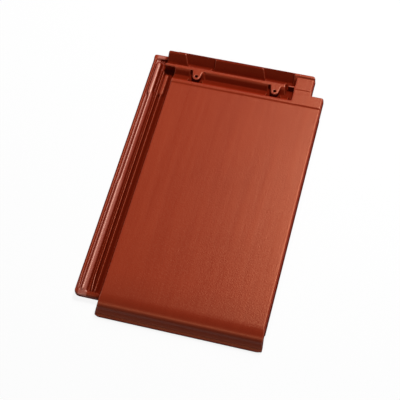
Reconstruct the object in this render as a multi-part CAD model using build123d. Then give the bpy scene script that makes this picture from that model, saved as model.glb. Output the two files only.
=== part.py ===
"""Flat clay roof tile with a double head lock, two nail lugs and a ribbed side lock.

The tile is pressed and fired as one piece, so it is one solid. It is drawn lying on its nibs and
its foot, with the pan upward. X runs across the tile, from the side lock at the left to the cover
lock at the right. Y runs up the roof, from the foot to the head. Z is up.

While it is drawn, x is 0 at the pan's left wall, y is 0 where the pan would meet the foot's nose
and z is 0 at the pan's top face. At the end the tile is moved so that its origin is in the middle
of its footprint, on the surface that it lies on.
"""
from build123d import *
import os
from math import atan2, cos, degrees, radians, sin

# Driving dimensions, in millimetres
pan_width = 250.5
pan_length = 411.0
plate_thickness = 12.0
foot_drop = 26.0
lock_width = 43.6
joint_gap = 2.0
overrun = 5.0

# Head, seen from the side: runs along the tile from the pan's end, and heights above the pan
lip_height = 1.5
step_run = 2.2
lip_run = 4.0
slope_run = 14.0
channel_floor = 7.0
foot_channel_width = 1.8
ridge_front_run = 8.7
ridge_steep_run = 2.5
ridge_width = 5.0
ridge_height = 1.6
head_channel_width = 4.8
outer_wall_run = 13.0
outer_ridge_width = 4.4
outer_ridge_height = 4.5
head_wall_run = 1.0
head_thickness = 10.0
head_left_share = 0.42
head_inset = 20.5
head_left_corner = 3.0
head_right_corner = 7.0
channel_inset = 51.0
ridge_round = 1.2
channel_round = 1.6
lip_round = 1.5

# Platforms at the right end of the head channels
platform_step = 0.7
platform_wall_draft = 0.8
platform_wall_run = 1.3
platform_clearance = 0.05
notch_setback = 2.8
notch_corner = 4.0
shoulder_round = 3.4
edge_wall_draft = 1.0

# Nail lugs and the pockets round them
nail_hole_diameter = 5.0
nail_hole_inset = 38.8
nail_hole_right_inset = 80.3
nail_setback = 11.4
lug_root_half_width = 9.4
lug_tip_radius = 6.6
lug_lean = 12
lug_round = 1.5
gusset_run = 12.0
gusset_slant = 5.0
gusset_left_reach = 9.4
gusset_right_reach = 13.0
pocket_left_reach = 12.4
pocket_right_reach = 8.2
pocket_right_slant = 5.5
pocket_setback = 2.0
pocket_wall_run = 1.6
pocket_round = 1.5
end_pocket_width = 5.5

# Stretches beside the lugs where the head channel runs a little further up the roof
jog_shift = 3.4
jog_slant = 10.0
jog_step_drop = 2.6
jog_step_setback = 0.6
jog_left_reach = 27.5
jog_1_right_reach = 23.2
jog_2_right_reach = 24.8
ridge_jog_1_left_reach = 17.8
ridge_jog_1_right_reach = 21.2
ridge_jog_2_left_reach = 20.2

# Gap in the inner ridge beside the platform, and the thin stub beyond it
ridge_gap_width = 6.0
stub_ridge_width = 2.8

# Side lock: heights below the pan, runs along the tile, and places across it as shares of the
# lock's width, counted from the pan's wall
lock_start = 13.0
lock_head_inset = 3.0
lock_depth = 24.5
lock_floor = 16.0
lock_step_floor = 14.0
lock_wall_draft = 0.6
rib_top = 9.3
outer_rib_top = 11.0
rib_flank = 1.3
rib_round_share = 0.36
rib_end_share = 0.46
shelf_edge_round = 0.7
rib_bend_round = 5.0
groove_round = 1.0
outer_rib_shares = (0.93, 0.878)
wide_rib_shares = (0.725, 0.656)
wide_rib_foot_shares = (0.757, 0.688)
wide_roll_shares = (0.788, 0.63)
thin_rib_shares = (0.452, 0.405)
inner_rib_shares = (0.29, 0.252)
inner_roll_shares = (0.335, 0.187)
foot_drift_share = 0.05
foot_drift_run = 26.0
wide_shelf_share = 0.573
wide_shelf_start_share = 0.7
inner_shelf_share = 0.19
inner_shelf_start_share = 0.28
shelf_drop = 0.6
shelf_fall = 3.0
roll_rise = 0.4
roll_flank = 1.8
shelf_round = 2.4
foot_ramp_run = 3.0
lock_jog_share = 0.535
lock_jog_run = 5.0
lock_jog_inset = 23.0
inner_roll_inset = 22.0
wide_rib_inset = 17.0
thin_rib_setback = 1.5
rim_width = 9.2
rim_round = 1.5
foot_band_width = 6.0
foot_band_top = 12.3
foot_band_front = 15.0
foot_band_round = 2.6
foot_band_fall = 3.0
lock_foot_corner = 8.0
lock_inner_corner = 4.5
lock_head_corner = 3.0
lock_skirt_run = 9.0
lock_skirt_tuck = 3.0

# Foot: places behind and reaches in front of the pan's own edge, and depths below the pan
foot_bar_end = 13.0
bend_place = 12.2
bend_end = 23.0
bend_round = 42.0
nose_reach = 1.8
nose_drop = 5.0
nose_round = 11.0
foot_face_depth = 12.5
foot_face_reach = 4.0
foot_round = 9.0
flare_depth = 18.6
flare_reach = 7.6
bead_top = 20.2
bead_reach = 11.6
bead_shoulder = 22.0
foot_reach = 12.0
bead_round = 1.2
foot_lip_thickness = 9.0
foot_back = 11.0
foot_back_slope = 5.0
foot_left_flare = 5.2
foot_right_flare = 0.8
foot_corner_round = 2.0
foot_end_taper = 1.8
foot_end_taper_run = 8.0

# Cover lock under the right edge
lock_clearance = 1.9
cover_plate = 8.5
cover_edge_rib_depth = 15.5
cover_edge_rib_width = 4.8
cover_rib_depth = 12.8
cover_rib_width = 4.0
cover_rib_draft = 0.7
cover_round = 1.0
cover_relief_depth = 10.2
cover_relief_inset = 11.0

# Underside
nib_width = 34.0
nib_length = 13.0
nib_setback = 10.7
nib_draft = 2.0
nib_round = 2.0
hollow_depth = 2.0
hollow_margin = 27.0
hollow_side_margin = 15.0
hollow_rib = 14.0
hollow_round = 8.0
hollow_count = 2

# Places along the tile
lip_start = pan_length + step_run
lip_end = lip_start + lip_run
slope_end = lip_end + slope_run
ridge_foot = slope_end + foot_channel_width
ridge_start = ridge_foot + ridge_front_run
steep_foot = ridge_start - ridge_steep_run
ridge_end = ridge_start + ridge_width
head_floor_start = ridge_end + ridge_steep_run
outer_foot = head_floor_start + head_channel_width
outer_start = outer_foot + outer_wall_run
outer_end = outer_start + outer_ridge_width
head_end = outer_end + head_wall_run
head_depth = channel_floor + head_thickness
notch_start = slope_end + notch_setback
pocket_start = lip_end + pocket_setback
nail_line = ridge_start - nail_setback
nib_hook_line = nail_line + nib_setback
platform_end = outer_start - platform_wall_run
lock_end = head_end - lock_head_inset
lock_jog_low = lock_jog_share * pan_length
lock_jog_high = pan_length - lock_jog_inset
rib_start = lock_start + foot_band_width + rib_flank

# Places across the tile
head_left = -head_left_share * lock_width
head_right = pan_width - head_inset
channel_right = pan_width - channel_inset
edge_foot = pan_width + edge_wall_draft
foot_left = -foot_left_flare
foot_right = pan_width + foot_right_flare
cover_lock_left = pan_width + joint_gap - lock_width - lock_clearance
nail_places = (nail_hole_inset, pan_width - nail_hole_right_inset)
platform_height = lip_height + platform_step


def outline(corners):
    """A closed face from corners, each given as a first and a second place and a radius."""
    following = corners[1:] + corners[:1]
    turning = sum(a[0] * b[1] - b[0] * a[1] for a, b in zip(corners, following))
    ordered = corners if turning > 0 else corners[::-1]
    points = [(first, second) for first, second, radius in ordered]
    radii = [radius for first, second, radius in ordered]
    return make_face(FilletPolyline(*points, radius=radii, close=True)).face()


def along(face, start, end):
    """A face drawn as x and z, carried along the tile from one place to another."""
    plane = Plane(origin=(0, end, 0), x_dir=(1, 0, 0), z_dir=(0, -1, 0))
    return extrude(plane * face, amount=end - start)


def across(face, start, end):
    """A face drawn as y and z, carried across the tile from one place to another."""
    plane = Plane(origin=(start, 0, 0), x_dir=(0, 1, 0), z_dir=(1, 0, 0))
    return extrude(plane * face, amount=end - start)


def upright(face, low, high):
    """A face drawn as x and y, carried up from one height to another."""
    return extrude(Plane(origin=(0, 0, low)) * face, amount=high - low)


def block(x_low, x_high, y_low, y_high, z_low, z_high):
    """A plain block between two corners."""
    middle = Pos((x_low + x_high) / 2, (y_low + y_high) / 2, (z_low + z_high) / 2)
    return middle * Box(x_high - x_low, y_high - y_low, z_high - z_low)


def joined(bodies):
    """Several bodies as one."""
    whole = bodies[0]
    for body in bodies[1:]:
        whole += body
    return whole


def foot_bar():
    """The foot: the rolled front edge, the flare and the bead that lies on the tile below."""
    side = outline([
        (bend_end, 0, 0),
        (bend_place, 0, bend_round),
        (-nose_reach, -nose_drop, nose_round),
        (-foot_face_reach, -foot_face_depth, foot_round),
        (-flare_reach, -flare_depth, 0),
        (-flare_reach, -bead_top, 0),
        (-bead_reach, -bead_shoulder, bead_round),
        (-foot_reach, -foot_drop, 0),
        (-foot_reach + foot_lip_thickness, -foot_drop, bead_round),
        (foot_back - foot_back_slope, -plate_thickness, foot_back_slope),
        (bend_end, -plate_thickness, 0),
    ])
    front = outline([
        (0, 0, shoulder_round / 2),
        (pan_width, 0, shoulder_round),
        (foot_right, -foot_drop, 0),
        (foot_left, -foot_drop, foot_corner_round),
    ])
    plan = outline([
        (foot_left, foot_bar_end, 0),
        (foot_left, -foot_reach + foot_end_taper, 0),
        (foot_left + foot_end_taper_run, -foot_reach, 0),
        (foot_right - foot_end_taper_run, -foot_reach, 0),
        (foot_right, -foot_reach + foot_end_taper, 0),
        (foot_right, foot_bar_end, 0),
    ])
    bar = across(side, foot_left - overrun, foot_right + overrun)
    bar &= along(front, -foot_reach - overrun, foot_bar_end)
    return bar & upright(plan, -foot_drop, 0)


def cover_rib_centre():
    """Where the cover lock's middle rib stands: over the widest groove of the next tile."""
    groove_centre = (wide_shelf_share + thin_rib_shares[0]) * lock_width / 2
    return pan_width + joint_gap - groove_centre


def cover_section(edge_depth):
    """The pan's cross section, with the rounded right edge and the cover lock under it."""
    rib_left = cover_rib_centre() - cover_rib_width / 2
    rib_right = cover_rib_centre() + cover_rib_width / 2
    edge_left = edge_foot - cover_edge_rib_width
    return outline([
        (0, 0, lip_round),
        (pan_width, 0, shoulder_round),
        (edge_foot, -edge_depth, cover_round / 2),
        (edge_left, -edge_depth, cover_round / 2),
        (edge_left - cover_rib_draft, -cover_plate, cover_round / 2),
        (rib_right + cover_rib_draft, -cover_plate, cover_round),
        (rib_right, -cover_rib_depth, cover_round),
        (rib_left, -cover_rib_depth, cover_round),
        (rib_left - cover_rib_draft, -cover_plate, cover_round),
        (cover_lock_left + cover_rib_draft, -cover_plate, cover_round),
        (cover_lock_left - cover_rib_draft, -plate_thickness, cover_round),
        (0, -plate_thickness, 0),
    ])


def pan_plate():
    """The flat pan. Its edge rib is lower near the head, where the next tile's lock is filled."""
    relief_start = pan_length - cover_relief_inset
    body = along(cover_section(cover_edge_rib_depth), foot_back, relief_start)
    body += along(cover_section(cover_relief_depth), relief_start, notch_start)
    return body - block(-overrun, channel_right + 2 * platform_wall_draft, pan_length + step_run / 2,
                        notch_start + overrun, -plate_thickness - overrun, overrun)


def rolled_over(body):
    """The body under the pan's top face and its gentle bend towards the foot."""
    side = outline([
        (notch_start + overrun, 0, 0),
        (notch_start + overrun, -foot_drop - overrun, 0),
        (-nose_reach, -foot_drop - overrun, 0),
        (-nose_reach, -nose_drop, 0),
        (bend_place, 0, bend_round),
    ])
    return body & across(side, -lock_width - overrun, foot_right + overrun)


def notch_rounded(body):
    """The body with the upright corner beside the notch rounded."""
    plan = outline([
        (-overrun, -overrun, 0),
        (edge_foot, -overrun, 0),
        (edge_foot, notch_start, notch_corner),
        (-overrun, notch_start, 0),
    ])
    return body & upright(plan, -foot_drop - overrun, lip_height + overrun)


def head_side(with_slope):
    """A side view of the head: slope, channel, inner ridge, channel and outer ridge."""
    slope = [
        (pan_length, -head_depth, 0),
        (pan_length, 0, 0),
        (lip_start, lip_height, lip_round / 2),
        (lip_end, lip_height, lip_round),
        (slope_end, -channel_floor, channel_round),
        (ridge_foot, -channel_floor, channel_round),
    ]
    ridges = [
        (ridge_start, ridge_height, ridge_round),
        (ridge_end, ridge_height, ridge_round),
        (head_floor_start, -channel_floor, channel_round),
        (outer_foot, -channel_floor, channel_round),
        (outer_start, outer_ridge_height, ridge_round),
        (outer_end, outer_ridge_height, ridge_round),
        (head_end, -head_depth, 0),
    ]
    return outline((slope if with_slope else [(steep_foot, -head_depth, 0)]) + ridges)


def head_block():
    """The head with both channels, rounded at its upright corners and open below its right end."""
    body = across(head_side(True), 0, head_right)
    body += across(head_side(False), head_left, 0)
    plan = outline([
        (head_left, pan_length - overrun, 0),
        (head_left, head_end, head_left_corner),
        (head_right, head_end, head_right_corner),
        (head_right, pan_length - overrun, 0),
    ])
    body &= upright(plan, -head_depth, outer_ridge_height)
    body -= block(cover_lock_left, edge_foot + overrun, pan_length - overrun, head_end + overrun,
                  -head_depth - overrun, -cover_plate)
    body -= block(channel_right + platform_wall_draft, head_right + overrun, ridge_foot,
                  platform_end, -channel_floor / 2, outer_ridge_height + overrun)
    return body


def platforms():
    """The flat steps that close the head channels at the right."""
    low_wall = channel_right + platform_wall_draft
    middle = -cover_plate / 2
    under = -(channel_floor + cover_plate) / 2
    low_side = outline([
        (pan_length, 0, 0),
        (lip_start, lip_height + platform_clearance, lip_round / 2),
        (notch_start + overrun, lip_height + platform_clearance, 0),
        (notch_start + overrun, middle - overrun, 0),
        (pan_length, middle - overrun, 0),
    ])
    low_front = outline([
        (low_wall + overrun, middle, 0),
        (low_wall + overrun, lip_height, 0),
        (pan_width, lip_height, shoulder_round),
        (edge_foot - edge_wall_draft / 2, middle, 0),
    ])
    high_side = outline([
        (lip_end - platform_wall_run, under, 0),
        (lip_end - platform_wall_run, lip_height, 0),
        (ridge_start - platform_clearance, lip_height, 0),
        (ridge_start, platform_height, 0),
        (platform_end + platform_wall_run / 2, platform_height, 0),
        (platform_end + platform_wall_run / 2, under, 0),
    ])
    high_front = outline([
        (channel_right, under - overrun, 0),
        (low_wall, platform_height + platform_clearance, lip_round / 2),
        (head_right, platform_height + platform_clearance, shoulder_round),
        (head_right + edge_wall_draft, under - overrun, 0),
    ])
    low = along(low_front, pan_length - overrun, notch_start)
    low &= across(low_side, channel_right - overrun, edge_foot + overrun)
    high = across(high_side, channel_right - overrun, head_right + overrun)
    high &= along(high_front, pan_length, outer_end)
    return notch_rounded(low) + high


def channel_jog(left, right):
    """What is cut from the outer ridge's inner wall along one jog, slanted at its left end."""
    side = outline([
        (outer_foot - channel_round, -channel_floor, 0),
        (outer_foot + jog_shift, -channel_floor, channel_round),
        (outer_start + jog_shift, outer_ridge_height, 0),
        (outer_foot - channel_round, outer_ridge_height, 0),
    ])
    slant = outline([
        (left, outer_start + jog_shift, 0),
        (left + jog_slant, ridge_end, 0),
        (left - overrun, ridge_end, 0),
        (left - overrun, outer_start + jog_shift, 0),
    ])
    return across(side, left, right) - upright(slant, -head_depth, outer_ridge_height)


def ridge_jog(left, right):
    """What is added behind the inner ridge along one jog: a sloping step down to the channel."""
    floor_start = head_floor_start + jog_shift
    side = outline([
        (ridge_start, -head_depth, 0),
        (ridge_start, ridge_height, 0),
        (ridge_end, ridge_height, ridge_round),
        (floor_start - jog_step_setback, ridge_height - jog_step_drop, ridge_round),
        (floor_start, -channel_floor, 0),
        (floor_start, -head_depth, 0),
    ])
    return across(side, left, right)


def nail_lug(centre):
    """A tongue from the inner ridge, round the nail hole, down to the channel's floor."""
    root = ridge_start + ridge_round
    lean = radians(lug_lean)
    reach = lug_tip_radius * cos(lean)
    drop = lug_tip_radius * sin(lean)
    left = (centre - reach, nail_line - drop)
    right = (centre + reach, nail_line - drop)
    tip = ThreePointArc(left, (centre, nail_line - lug_tip_radius), right)
    root_right = (centre + lug_root_half_width, root)
    root_left = (centre - lug_root_half_width, root)
    sides = Polyline(right, root_right, root_left, left)
    lug = upright(make_face([tip, sides]), -head_depth, ridge_height)
    rim = [edge for edge in lug.edges().group_by(Axis.Z)[-1] if edge.center().Y < root]
    return fillet(rim, lug_round)


def gusset(centre, reach):
    """The sloping web at the right of a nail lug, from the inner ridge down to the floor."""
    side = outline([
        (ridge_start, ridge_height, 0),
        (ridge_start + ridge_round, ridge_height, 0),
        (ridge_start + ridge_round, -head_depth, 0),
        (ridge_start - gusset_run, -head_depth, 0),
        (ridge_start - gusset_run, -channel_floor, 0),
    ])
    front = outline([
        (centre, ridge_height, 0),
        (centre + reach, ridge_height, 0),
        (centre + reach + gusset_slant, -channel_floor, 0),
        (centre + reach + gusset_slant, -head_depth, 0),
        (centre, -head_depth, 0),
    ])
    body = across(side, centre, centre + reach + gusset_slant)
    return body & along(front, ridge_start - gusset_run, ridge_end)


def lug_pocket(centre):
    """The pocket cut into the slope round a nail lug, with one slanted side."""
    left = centre - pocket_left_reach
    right = centre + pocket_right_reach
    plan = outline([
        (left, pocket_start, pocket_round),
        (right + pocket_right_slant, pocket_start, pocket_round),
        (right + pocket_right_slant, ridge_start, 0),
        (left, ridge_start, 0),
    ])
    side = outline([
        (pocket_start, outer_ridge_height, 0),
        (pocket_start + pocket_wall_run, -channel_floor, channel_round),
        (steep_foot, -channel_floor, channel_round),
        (ridge_start, ridge_height, 0),
        (ridge_start, outer_ridge_height, 0),
    ])
    front = outline([
        (left, outer_ridge_height, 0),
        (left, -channel_floor, channel_round),
        (right, -channel_floor, channel_round),
        (right + pocket_right_slant, lip_height, 0),
        (right + pocket_right_slant, outer_ridge_height, 0),
    ])
    body = upright(plan, -channel_floor, outer_ridge_height)
    body &= across(side, left, right + pocket_right_slant)
    return body & along(front, pocket_start, ridge_start)


def end_pocket():
    """The pocket in the slope beside the platform."""
    return block(channel_right - end_pocket_width, channel_right, pocket_start, steep_foot,
                 -channel_floor, outer_ridge_height)


def ridge_gap(left):
    """The gap in the inner ridge beside the platform."""
    front = outline([
        (left, outer_ridge_height, 0),
        (left + gusset_slant, -channel_floor, 0),
        (channel_right, -channel_floor, 0),
        (channel_right, outer_ridge_height, 0),
    ])
    return along(front, ridge_foot, head_floor_start + jog_shift)


def ridge_stub(left):
    """The thin ridge that goes on from the gap to the platform."""
    return block(left + ridge_gap_width, channel_right + platform_wall_draft,
                 ridge_end - stub_ridge_width, ridge_end, -head_depth, ridge_height)


def lock_place(share):
    """A place across the side lock, from a share of its width."""
    return -share * lock_width


def rib(stations, low, high, flank):
    """A rib with sloping flanks and rounded ends, from its crest's two sides at each place."""
    first = stations[0]
    last = stations[-1]
    crest = (first[0][0] - first[0][1]) * lock_width
    ends = [(first[0], first[1] - flank)] + stations[1:-1] + [(last[0], last[1] + flank)]
    turns = {ends[0][1]: rib_end_share * (crest + 2 * flank)}
    turns[ends[-1][1]] = turns[ends[0][1]]
    corners = []
    for shares, place in ends:
        corners.append((lock_place(shares[0]) - flank, place, turns.get(place, rib_bend_round)))
    for shares, place in reversed(ends):
        corners.append((lock_place(shares[1]) + flank, place, turns.get(place, rib_bend_round)))
    lean = degrees(atan2(flank, high - low))
    body = extrude(Plane(origin=(0, 0, low)) * outline(corners), amount=high - low, taper=lean)
    return fillet(body.edges().group_by(Axis.Z)[-1], rib_round_share * crest)


def drifted(shares):
    """A rib's two sides at its foot end, where it has drifted towards the pan."""
    return (shares[0] - foot_drift_share, shares[1] - foot_drift_share)


def shelf(left_share, right_share, start, end, fall, ramp_run, ramp_drop):
    """The sloping shelf along a rib's right side, rounded at its ends, with a ramp up to it."""
    left = lock_place(left_share)
    right = lock_place(right_share)
    high = -rib_top - shelf_drop
    section = outline([
        (left, -lock_depth, 0),
        (left, high, shelf_edge_round),
        (right, high - fall, shelf_edge_round),
        (right + rib_flank, -lock_floor, 0),
        (right + rib_flank, -lock_depth, 0),
    ])
    plan = outline([
        (left, start, 0),
        (right + rib_flank, start, shelf_round),
        (right + rib_flank, end, shelf_round),
        (left, end, 0),
    ])
    ramp = outline([
        (start - overrun, high - ramp_drop, 0),
        (start, high - ramp_drop, 0),
        (start + ramp_run, high + platform_clearance, 0),
        (end + overrun, high + platform_clearance, 0),
        (end + overrun, -lock_depth - overrun, 0),
        (start - overrun, -lock_depth - overrun, 0),
    ])
    body = along(section, start, end) & upright(plan, -lock_depth - overrun, 0)
    return body & across(ramp, left - overrun, right + overrun)


def lock_ribs():
    """The side lock's four ribs, with the shelves beside two of them and the rolls at their head."""
    drift_end = rib_start + foot_drift_run
    rim_start = lock_end - rim_width
    wide_end = lock_end - wide_rib_inset
    thin_end = steep_foot - thin_rib_setback
    inner_roll_start = pan_length - inner_roll_inset
    outer = rib([(drifted(outer_rib_shares), rib_start), (outer_rib_shares, drift_end),
                 (outer_rib_shares, rim_start)], -lock_floor, -outer_rib_top, rib_flank)
    wide = rib([(wide_rib_foot_shares, rib_start),
                (wide_rib_foot_shares, lock_jog_low - lock_jog_run), (wide_rib_shares, lock_jog_low),
                (wide_rib_shares, lock_jog_high + lock_jog_run)],
               -lock_floor, -rib_top, rib_flank)
    thin = rib([(drifted(thin_rib_shares), rib_start), (thin_rib_shares, drift_end),
                (thin_rib_shares, thin_end)], -lock_floor, -rib_top, rib_flank)
    inner = rib([(inner_rib_shares, rib_start), (inner_rib_shares, inner_roll_start + lock_jog_run)],
                -lock_floor, -rib_top, rib_flank)
    wide_roll = rib([(wide_roll_shares, lock_jog_high), (wide_roll_shares, wide_end)],
                    -lock_floor, -rib_top + roll_rise, roll_flank)
    inner_roll = rib([(inner_roll_shares, inner_roll_start), (inner_roll_shares, slope_end)],
                     -lock_floor, -rib_top + roll_rise, roll_flank)
    shelves = [
        shelf(wide_shelf_start_share, wide_shelf_share, rib_start, lock_jog_high + lock_jog_run,
              shelf_fall, foot_ramp_run, shelf_fall),
        shelf(inner_shelf_start_share, inner_shelf_share, rib_start,
              inner_roll_start + lock_jog_run, shelf_fall, foot_ramp_run, shelf_fall),
    ]
    return joined([outer, wide, thin, inner, wide_roll, inner_roll] + shelves)


def side_lock():
    """The side lock: a tray with ribs, a band across its foot end and a rim across its head."""
    rim_start = lock_end - rim_width
    corner_start = lock_start - lock_inner_corner
    band_end = lock_start + foot_band_width
    step = lock_place(wide_shelf_start_share)
    section = outline([
        (-lock_width, -lock_depth, groove_round),
        (-lock_width, -lock_step_floor, groove_round),
        (step, -lock_step_floor, 0),
        (step + lock_wall_draft, -lock_floor, 0),
        (-lock_wall_draft, -lock_floor, groove_round),
        (0, -plate_thickness, 0),
        (lock_skirt_run, -plate_thickness, 0),
        (lock_skirt_run - lock_skirt_tuck, -lock_depth, groove_round),
    ])
    band = outline([
        (lock_start, -lock_depth, 0),
        (lock_start, -foot_band_front, foot_band_round),
        (band_end, -foot_band_top, groove_round),
        (band_end + foot_band_fall, -lock_floor, groove_round),
        (band_end + foot_band_fall, -lock_depth, 0),
    ])
    rim = outline([
        (rim_start, -lock_depth, 0),
        (rim_start, -outer_rib_top, groove_round),
        (lock_end, -outer_rib_top, rim_round),
        (lock_end, -lock_depth, 0),
    ])
    plan = outline([
        (-lock_width, lock_start, lock_foot_corner),
        (0, lock_start, lock_inner_corner),
        (0, corner_start, 0),
        (lock_skirt_run, corner_start, 0),
        (lock_skirt_run, lock_end, 0),
        (-lock_width, lock_end, lock_head_corner),
    ])
    body = along(section, corner_start, lock_end)
    body += lock_ribs()
    body += across(band, -lock_width, 0)
    body += across(rim, -lock_width, head_left)
    return body & upright(plan, -lock_depth, 0)


def nibs():
    """The two hanging nibs under the head, one in line with each nail lug."""
    side = outline([
        (nib_hook_line, -plate_thickness, 0),
        (nib_hook_line, -foot_drop, nib_round),
        (nib_hook_line + nib_length, -foot_drop, nib_round),
        (nib_hook_line + nib_length + nib_draft, -plate_thickness, 0),
    ])
    return joined([across(side, centre - nib_width / 2, centre + nib_width / 2)
                   for centre in nail_places])


def hollows():
    """The shallow hollows pressed into the underside, with a rib left between them."""
    first = lock_skirt_run + hollow_side_margin
    last = cover_lock_left - hollow_side_margin
    width = (last - first - hollow_rib * (hollow_count - 1)) / hollow_count
    bodies = []
    for index in range(hollow_count):
        left = first + index * (width + hollow_rib)
        plan = outline([
            (left, foot_back + hollow_margin, hollow_round),
            (left + width, foot_back + hollow_margin, hollow_round),
            (left + width, pan_length - hollow_margin, hollow_round),
            (left, pan_length - hollow_margin, hollow_round),
        ])
        bodies.append(upright(plan, -plate_thickness - overrun, -plate_thickness + hollow_depth))
    return joined(bodies)


def nail_holes():
    """The holes through the lugs."""
    drill = Cylinder(nail_hole_diameter / 2, 2 * (head_depth + overrun))
    return joined([Pos(centre, nail_line, 0) * drill for centre in nail_places])


def head_with_lugs():
    """The head, with its platforms, jogs, pockets, lugs and nibs."""
    first, second = nail_places
    gap_left = second + gusset_right_reach
    body = head_block() + platforms()
    body -= channel_jog(first - jog_left_reach, first + jog_1_right_reach)
    body -= channel_jog(second - jog_left_reach, second + jog_2_right_reach)
    body += ridge_jog(first - ridge_jog_1_left_reach, first + ridge_jog_1_right_reach)
    body += ridge_jog(second - ridge_jog_2_left_reach, gap_left + gusset_slant)
    body -= joined([lug_pocket(centre) for centre in nail_places])
    body -= end_pocket()
    body += gusset(first, gusset_left_reach) + gusset(second, gusset_right_reach)
    body -= ridge_gap(gap_left)
    body += ridge_stub(gap_left)
    body += joined([nail_lug(centre) for centre in nail_places])
    return body + nibs()


def roof_tile():
    """The whole tile, in its drawing place."""
    body = rolled_over(notch_rounded(pan_plate()))
    body += foot_bar()
    body += side_lock()
    body += head_with_lugs()
    body -= hollows()
    return body - nail_holes()


drawn = roof_tile()
box = drawn.bounding_box()
footprint_centre = box.center()
tile = Pos(-footprint_centre.X, -footprint_centre.Y, -box.min.Z) * drawn
os.makedirs("parts", exist_ok=True)
export_step(tile, "parts/roof_tile.step")
print("size", tile.bounding_box().size, "volume", tile.volume, "solids", len(tile.solids()))
print("moved by", -footprint_centre.X, -footprint_centre.Y, -box.min.Z)
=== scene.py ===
import math

import bpy
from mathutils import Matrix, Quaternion, Vector

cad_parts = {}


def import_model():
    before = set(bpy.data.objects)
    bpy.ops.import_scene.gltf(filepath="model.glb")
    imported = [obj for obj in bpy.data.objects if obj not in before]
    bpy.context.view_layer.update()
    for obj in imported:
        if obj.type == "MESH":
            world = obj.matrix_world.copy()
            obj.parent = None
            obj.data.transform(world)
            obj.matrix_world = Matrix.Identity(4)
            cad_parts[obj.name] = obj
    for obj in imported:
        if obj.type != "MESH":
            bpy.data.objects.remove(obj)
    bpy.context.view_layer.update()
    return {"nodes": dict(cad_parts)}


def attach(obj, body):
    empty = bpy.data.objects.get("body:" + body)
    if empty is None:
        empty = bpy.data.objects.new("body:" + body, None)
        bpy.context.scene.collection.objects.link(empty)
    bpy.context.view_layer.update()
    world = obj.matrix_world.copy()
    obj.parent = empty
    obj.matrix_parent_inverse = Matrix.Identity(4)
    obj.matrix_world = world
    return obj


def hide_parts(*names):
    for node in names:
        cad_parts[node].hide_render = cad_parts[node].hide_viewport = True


# A clay roof tile lying on a pale floor, in metres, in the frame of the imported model: x runs from
# the side lock at the left to the right edge, y from the foot to the head, and z up.

# Camera: a long lens from the front right, high above the tile. Azimuths are counted in degrees
# from the foot's side toward the right, also for the lamps.
LENS = 108.98
SENSOR = 36.0
CAMERA_AIM = (-0.0003, -0.0257, 0.026)
CAMERA_DISTANCE = 1.8681
CAMERA_AZIMUTH = 18.25
CAMERA_ELEVATION = 59.38
CAMERA_ROLL = -4.26

# Lamps: name, azimuth, elevation, width, height and watts.
LAMP_AIM = (0.0, 0.0, 0.0)
LAMP_DISTANCE = 2.4
LAMPS = (
    ("key", 160.0, 60.0, 0.6, 0.6, 50.5),
    ("back", 172.0, 44.0, 0.9, 0.9, 11.0),
    ("front", -10.0, 50.0, 0.5, 0.1, 6.5),
)

# Floor and sky: white where they are seen, and dimmer where they light the tile.
FLOOR_SIZE = 40.0
FLOOR_COLOUR = (0.95, 0.95, 0.95)
FLOOR_BOUNCE = (0.40, 0.40, 0.40)
FLOOR_GLOW = 0.88
SKY_SEEN = 1.0
SKY_LIGHT = 0.03

# Body: the arrises are soft, and softest along the side lock.
SOFT_CELL = 0.0006
SOFT_ROUNDS = 7
SOFT_TRIANGLES = 190000
LOCK_WIDTH = 0.0430
LOCK_ROUNDS = 42

# Clay and slip, as linear values, and the tints of their gloss.
CLAY = (0.254, 0.019, 0.005)
CLAY_DARK = (0.225, 0.015, 0.004)
CLAY_LIGHT = (0.290, 0.030, 0.009)
# Pale clay of worn edges, which also serves as painted highlight on edges and along the foot.
CLAY_WORN_AND_HIGHLIGHT = (0.360, 0.060, 0.025)
# Painted shade: a deep red that the recesses, the cavities and the pan before the foot are mixed
# towards.
CLAY_PAINTED_SHADE = (0.080, 0.004, 0.001)
SHEEN_TINT = (1.0, 0.41, 0.21)
CREST_TINT = (1.0, 0.72, 0.58)

# Marks in the slip: scale, detail and roughness of their noise.
BLOTCH = (9.0, 3.0, 0.55)
STREAK = (1.0, 3.0, 0.6)
STREAK_STRETCH = (90.0, 5.0, 40.0)
SPECKLE = (420.0, 2.0, 0.6)
GRAIN = (1100.0, 3.0, 0.65)

# The same marks as relief: distance and strength of their bump.
STREAK_BUMP = (0.0006, 0.25)
SPECKLE_BUMP = (0.0004, 0.36)
GRAIN_BUMP = (0.0003, 0.40)

# Ramps: from low, from high, to low, to high.
BLOTCH_SHARE = (0.32, 0.68, 0.0, 0.55)
STREAK_SHARE = (0.40, 0.72, 0.0, 0.35)
SPECKLE_SHARE = (0.55, 0.75, 0.0, 0.30)
# Pale worn edges, partly wear and partly painted highlight.
WORN_AND_HIGHLIGHT_SHARE = (0.503, 0.530, 0.0, 0.60)
# Painted shade in cavities: how much darker the colour gets as the ambient occlusion closes in.
CAVITY_SHADE_SHARE = (0.55, 0.92, 0.80, 0.0)
ROUGHNESS = (0.7, 1.4, 0.27, 0.35)
GLOSS_FACING = (0.30, 0.60, 0.34, 0.0)
GLOSS_OPEN = (0.66, 0.94, 0.0, 1.0)
GLOSS_WORN = (0.503, 0.530, 1.0, 1.8)
RECESS_WORN = (0.508, 0.530, 0.0, 1.0)
TINT_WORN = (0.503, 0.535, 0.0, 1.0)

# Places where the slip's tone or gloss changes and where light and shade are painted, and half the
# width over which it does.
SHARP = 0.0010
MILD = 0.0015
SOFT = 0.0020
RIB_LEFT = -0.1410
RIB_RIGHT = -0.1275
PAN_LEFT = -0.1039
CHANNEL_START = 0.1875
CHANNEL_TOP = 0.0250
WALL_START = 0.2170
WALL_LEFT = -0.1220
WALL_RIGHT = 0.0930
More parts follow.
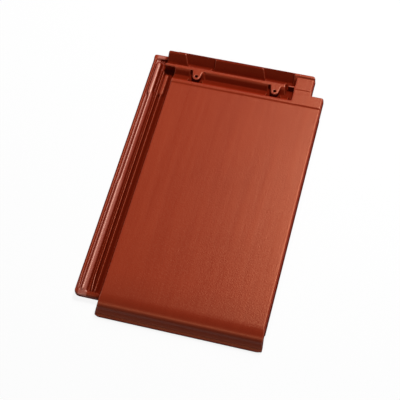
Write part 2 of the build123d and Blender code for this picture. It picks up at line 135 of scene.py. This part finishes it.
# Painted light: the pan is lighter towards its left side.
PAN_PAINTED_LIGHT = (PAN_LEFT, 0.020, 0.40, 0.0)
# Painted shade: the pan goes darker over the last stretch before the foot.
FOOT_PAINTED_SHADE = (-0.2240, -0.1690, 0.28, 0.0)

# Painted highlights, pale lines along the foot's crest and its front: place, front run, back run
# and share.
FOOT_CREST_HIGHLIGHT = (-0.2290, 0.003, 0.004, 0.55)
FOOT_BAND_HIGHLIGHT = (-0.2380, 0.003, 0.003, 0.60)

# The rib that shines, the painted shade in the head's recess, and how far a recess is looked for.
RIB_GLOSS = 3.4
RIB_ROUGHNESS = 0.12
RECESS_SHADE = 0.60
RECESS_GLOSS = 0.15
RECESS_CAVITY_SHADE = 0.4
CAVITY_REACH = 0.022
CAVITY_SAMPLES = 8


# Nodes

def new_material(name):
    material = bpy.data.materials.new(name)
    material.use_nodes = True
    material.node_tree.nodes.clear()
    return material, material.node_tree


def add_node(tree, kind, **values):
    node = tree.nodes.new(kind)
    for name, value in values.items():
        setattr(node, name, value)
    return node


def noise(tree, vector, scale, detail, roughness):
    node = add_node(tree, "ShaderNodeTexNoise")
    node.inputs["Scale"].default_value = scale
    node.inputs["Detail"].default_value = detail
    node.inputs["Roughness"].default_value = roughness
    tree.links.new(vector, node.inputs["Vector"])
    return node.outputs["Fac"]


def stretched(tree, vector, scale):
    node = add_node(tree, "ShaderNodeMapping")
    node.inputs["Scale"].default_value = scale
    tree.links.new(vector, node.inputs["Vector"])
    return node.outputs["Vector"]


def axes_of(tree, vector):
    node = add_node(tree, "ShaderNodeSeparateXYZ")
    tree.links.new(vector, node.inputs["Vector"])
    return node.outputs["X"], node.outputs["Y"], node.outputs["Z"]


def ranged(tree, value, low, high, to_low, to_high):
    node = add_node(tree, "ShaderNodeMapRange", clamp=True)
    node.inputs["From Min"].default_value = low
    node.inputs["From Max"].default_value = high
    node.inputs["To Min"].default_value = to_low
    node.inputs["To Max"].default_value = to_high
    tree.links.new(value, node.inputs["Value"])
    return node.outputs["Result"]


def shared(tree, mask, low, high):
    """The mask's 0 to 1 as low to high."""
    return ranged(tree, mask, 0.0, 1.0, low, high)


def after(tree, value, edge, blend):
    return ranged(tree, value, edge - blend, edge + blend, 0.0, 1.0)


def before(tree, value, edge, blend):
    return ranged(tree, value, edge - blend, edge + blend, 1.0, 0.0)


def mixed(tree, factor, first, second):
    node = add_node(tree, "ShaderNodeMix", data_type="RGBA")
    tree.links.new(factor, node.inputs["Factor"])
    for colour, socket in ((first, node.inputs[6]), (second, node.inputs[7])):
        if isinstance(colour, tuple):
            socket.default_value = (*colour, 1.0)
        else:
            tree.links.new(colour, socket)
    return node.outputs[2]


def combined(tree, operation, first, *others):
    for other in others:
        node = add_node(tree, "ShaderNodeMath", operation=operation)
        tree.links.new(first, node.inputs[0])
        tree.links.new(other, node.inputs[1])
        first = node.outputs["Value"]
    return first


def bumped(tree, height, distance, strength, normal=None):
    node = add_node(tree, "ShaderNodeBump")
    node.inputs["Strength"].default_value = strength
    node.inputs["Distance"].default_value = distance
    tree.links.new(height, node.inputs["Height"])
    if normal is not None:
        tree.links.new(normal, node.inputs["Normal"])
    return node.outputs["Normal"]


def seen_by_eye(tree):
    """1 for the rays that show the background: the camera's, and those of gloss and glass."""
    rays = add_node(tree, "ShaderNodeLightPath").outputs
    total = combined(
        tree, "ADD", rays["Is Camera Ray"], rays["Is Glossy Ray"], rays["Is Transmission Ray"]
    )
    return shared(tree, total, 0.0, 1.0)


def output_of_two(tree, kind, factor, first, second):
    """Mixes two shaders by the factor, as the output of the tree."""
    mix = add_node(tree, "ShaderNodeMixShader")
    tree.links.new(factor, mix.inputs["Fac"])
    tree.links.new(first, mix.inputs[1])
    tree.links.new(second, mix.inputs[2])
    output = add_node(tree, kind)
    tree.links.new(mix.outputs["Shader"], output.inputs["Surface"])


# Materials

def recess_shade_mask(tree, across, along, height):
    """The head lock's channel, below the pan's top, and the wall that closes it at the head; shade
    is painted there.
    """
    channel = combined(
        tree, "MULTIPLY",
        after(tree, across, PAN_LEFT, SHARP),
        after(tree, along, CHANNEL_START, MILD),
        before(tree, height, CHANNEL_TOP, SHARP),
    )
    wall = combined(
        tree, "MULTIPLY",
        after(tree, across, WALL_LEFT, SHARP),
        before(tree, across, WALL_RIGHT, SHARP),
        after(tree, along, WALL_START, SOFT),
    )
    return combined(tree, "MAXIMUM", channel, wall)


def painted_foot_highlight(tree, across, along, middle, front, back, share):
    """A painted highlight along the foot, right of the side lock, that fades to its front and its
    back.
    """
    return combined(
        tree, "MULTIPLY",
        after(tree, across, PAN_LEFT + SHARP, SHARP),
        ranged(tree, along, middle - front, middle, 0.0, share),
        ranged(tree, along, middle, middle + back, 1.0, 0.0),
    )


def clay_material():
    """A fine slip burnt on to red clay, paler where it is worn, with painted shade in the recesses,
    cavities and before the foot, and painted light on the pan's left, along the foot and on the
    edges.
    """
    material, tree = new_material("fired_clay_slip")
    place = add_node(tree, "ShaderNodeTexCoord").outputs["Object"]
    across, along, height = axes_of(tree, place)
    blotch = noise(tree, place, *BLOTCH)
    streak = noise(tree, stretched(tree, place, STREAK_STRETCH), *STREAK)
    speckle = noise(tree, place, *SPECKLE)
    grain = noise(tree, place, *GRAIN)
    rib = combined(
        tree, "MULTIPLY",
        before(tree, across, RIB_RIGHT, SHARP), after(tree, across, RIB_LEFT, SHARP),
    )
    recess = recess_shade_mask(tree, across, along, height)
    pointed = add_node(tree, "ShaderNodeNewGeometry").outputs["Pointiness"]
    cavity = add_node(
        tree, "ShaderNodeAmbientOcclusion", samples=CAVITY_SAMPLES, only_local=True
    )
    cavity.inputs["Distance"].default_value = CAVITY_REACH
    openness = cavity.outputs["AO"]
    # Painted shade: the colour goes darker where the ambient occlusion finds the surface closed in.
    cavity_shade = combined(
        tree, "MULTIPLY",
        ranged(tree, openness, *CAVITY_SHADE_SHARE), shared(tree, recess, 1.0, RECESS_CAVITY_SHADE),
    )

    colour = mixed(tree, ranged(tree, blotch, *BLOTCH_SHARE), CLAY_DARK, CLAY)
    for share, tone in (
        (ranged(tree, streak, *STREAK_SHARE), CLAY_LIGHT),
        (ranged(tree, speckle, *SPECKLE_SHARE), CLAY_DARK),
        # Painted light on the pan's left.
        (ranged(tree, across, *PAN_PAINTED_LIGHT), CLAY_LIGHT),
        # Painted shade before the foot.
        (ranged(tree, along, *FOOT_PAINTED_SHADE), CLAY_PAINTED_SHADE),
        # Painted highlights on the foot's crest and on its front.
        (painted_foot_highlight(tree, across, along, *FOOT_CREST_HIGHLIGHT), CLAY_WORN_AND_HIGHLIGHT),
        (painted_foot_highlight(tree, across, along, *FOOT_BAND_HIGHLIGHT), CLAY_WORN_AND_HIGHLIGHT),
        # Painted shade in the head lock's channel and in the wall that closes it.
        (shared(tree, recess, 0.0, RECESS_SHADE), CLAY_PAINTED_SHADE),
        # Pale edges where the form is pointed: partly wear, partly painted highlight.
        (ranged(tree, pointed, *WORN_AND_HIGHLIGHT_SHARE), CLAY_WORN_AND_HIGHLIGHT),
        # Painted shade in the cavities.
        (cavity_shade, CLAY_PAINTED_SHADE),
    ):
        colour = mixed(tree, share, colour, tone)

    roughness = combined(
        tree, "ADD",
        ranged(tree, combined(tree, "ADD", streak, grain), *ROUGHNESS),
        shared(tree, rib, 0.0, RIB_ROUGHNESS),
    )
    gloss = combined(
        tree, "MULTIPLY",
        ranged(tree, add_node(tree, "ShaderNodeLayerWeight").outputs["Facing"], *GLOSS_FACING),
        shared(tree, rib, 1.0, RIB_GLOSS),
        ranged(tree, openness, *GLOSS_OPEN),
        ranged(tree, pointed, *GLOSS_WORN),
        combined(
            tree, "MAXIMUM",
            shared(tree, recess, 1.0, RECESS_GLOSS), ranged(tree, pointed, *RECESS_WORN),
        ),
    )
    polished = combined(tree, "MAXIMUM", rib, ranged(tree, pointed, *TINT_WORN))
    normal = bumped(tree, streak, *STREAK_BUMP)
    normal = bumped(tree, speckle, *SPECKLE_BUMP, normal)
    normal = bumped(tree, grain, *GRAIN_BUMP, normal)

    shader = add_node(tree, "ShaderNodeBsdfPrincipled")
    for name, value in (
        ("Base Color", colour),
        ("Roughness", roughness),
        ("Specular IOR Level", gloss),
        ("Specular Tint", mixed(tree, polished, SHEEN_TINT, CREST_TINT)),
        ("Normal", normal),
    ):
        tree.links.new(value, shader.inputs[name])
    output = add_node(tree, "ShaderNodeOutputMaterial")
    tree.links.new(shader.outputs["BSDF"], output.inputs["Surface"])
    return material


def floor_material():
    """Pale matt floor that shows as white and keeps the tile's shadow."""
    material, tree = new_material("pale_floor")
    seen = seen_by_eye(tree)
    matt = add_node(tree, "ShaderNodeBsdfDiffuse")
    tree.links.new(mixed(tree, seen, FLOOR_BOUNCE, FLOOR_COLOUR), matt.inputs["Color"])
    white = add_node(tree, "ShaderNodeEmission")
    white.inputs["Strength"].default_value = 1.0
    output_of_two(
        tree, "ShaderNodeOutputMaterial", shared(tree, seen, 0.0, FLOOR_GLOW),
        matt.outputs["BSDF"], white.outputs["Emission"],
    )
    return material


# Body

def count_triangles(mesh):
    mesh.calc_loop_triangles()
    return len(mesh.loop_triangles)


def apply_modifiers(piece):
    """Turns the piece's modifiers into its mesh."""
    depsgraph = bpy.context.evaluated_depsgraph_get()
    mesh = bpy.data.meshes.new_from_object(piece.evaluated_get(depsgraph))
    old = piece.data
    piece.modifiers.clear()
    piece.data = mesh
    bpy.data.meshes.remove(old)


def smoothed(piece, rounds, group=""):
    """Melts the piece's form a little, everywhere or in one group of its points."""
    soft = piece.modifiers.new("soft", "SMOOTH")
    soft.factor = 1.0
    soft.iterations = rounds
    soft.vertex_group = group
    apply_modifiers(piece)


def lock_group(piece):
    """The name of a group of the points that lie in the side lock."""
    points = piece.data.vertices
    end = min(point.co.x for point in points) + LOCK_WIDTH
    group = piece.vertex_groups.new(name="lock")
    group.add([point.index for point in points if point.co.x < end], 1.0, "REPLACE")
    return group.name


def softened_body(node, material):
    """The CAD node's form again, with its arrises and corners melted as slip leaves them.

    Its points are thinned out at the end, and keep the normals that they had before.
    """
    piece = bpy.data.objects.new("tile_body", node.data.copy())
    bpy.context.scene.collection.objects.link(piece)
    cells = piece.modifiers.new("cells", "REMESH")
    cells.mode = "VOXEL"
    cells.voxel_size = SOFT_CELL
    apply_modifiers(piece)
    smoothed(piece, SOFT_ROUNDS)
    smoothed(piece, LOCK_ROUNDS, lock_group(piece))
    piece.vertex_groups.clear()
    fine = bpy.data.objects.new("fine", piece.data.copy())
    bpy.context.scene.collection.objects.link(fine)
    fine.data.shade_smooth()
    thin = piece.modifiers.new("thin", "DECIMATE")
    thin.ratio = min(1.0, SOFT_TRIANGLES / count_triangles(piece.data))
    apply_modifiers(piece)
    piece.data.materials.clear()
    piece.data.materials.append(material)
    piece.data.shade_smooth()
    kept = piece.modifiers.new("kept", "DATA_TRANSFER")
    kept.object = fine
    kept.use_loop_data = True
    kept.data_types_loops = {"CUSTOM_NORMAL"}
    kept.loop_mapping = "POLYINTERP_NEAREST"
    apply_modifiers(piece)
    bpy.data.objects.remove(fine)
    print("tile_body triangles", count_triangles(piece.data))
    return piece


# Scene

def add_floor():
    bpy.ops.mesh.primitive_plane_add(size=FLOOR_SIZE, location=(0.0, 0.0, 0.0))
    floor = bpy.context.active_object
    floor.name = "floor"
    floor.data.materials.append(floor_material())


def sky(tree, strength):
    node = add_node(tree, "ShaderNodeBackground")
    node.inputs["Color"].default_value = (1.0, 1.0, 1.0, 1.0)
    node.inputs["Strength"].default_value = strength
    return node.outputs["Background"]


def add_world():
    world = bpy.data.worlds.new("studio")
    bpy.context.scene.world = world
    world.use_nodes = True
    tree = world.node_tree
    tree.nodes.clear()
    output_of_two(
        tree, "ShaderNodeOutputWorld", seen_by_eye(tree), sky(tree, SKY_LIGHT), sky(tree, SKY_SEEN)
    )


def placed(name, data, aim, azimuth, elevation, distance, roll=0.0):
    """An object with this data, which faces the aim from an azimuth and an elevation."""
    a = math.radians(azimuth)
    e = math.radians(elevation)
    direction = Vector((math.sin(a) * math.cos(e), -math.cos(a) * math.cos(e), math.sin(e)))
    thing = bpy.data.objects.new(name, data)
    bpy.context.scene.collection.objects.link(thing)
    thing.location = Vector(aim) + direction * distance
    thing.rotation_mode = "QUATERNION"
    turn = Quaternion((0.0, 0.0, 1.0), math.radians(roll))
    thing.rotation_quaternion = direction.to_track_quat("Z", "Y") @ turn
    return thing


def add_lamp(name, azimuth, elevation, width, height, power):
    data = bpy.data.lights.new(name, "AREA")
    data.shape = "RECTANGLE"
    data.size = width
    data.size_y = height
    data.energy = power
    placed(name, data, LAMP_AIM, azimuth, elevation, LAMP_DISTANCE)


def add_camera():
    data = bpy.data.cameras.new("camera")
    data.lens = LENS
    data.sensor_width = SENSOR
    bpy.context.scene.camera = placed(
        "camera", data, CAMERA_AIM, CAMERA_AZIMUTH, CAMERA_ELEVATION, CAMERA_DISTANCE, CAMERA_ROLL
    )


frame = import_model()

body = softened_body(frame["nodes"]["roof_tile"], clay_material())
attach(body, "root")
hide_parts("roof_tile")

add_floor()
add_world()
for lamp in LAMPS:
    add_lamp(*lamp)
add_camera()
bpy.context.scene.view_settings.view_transform = "Standard"
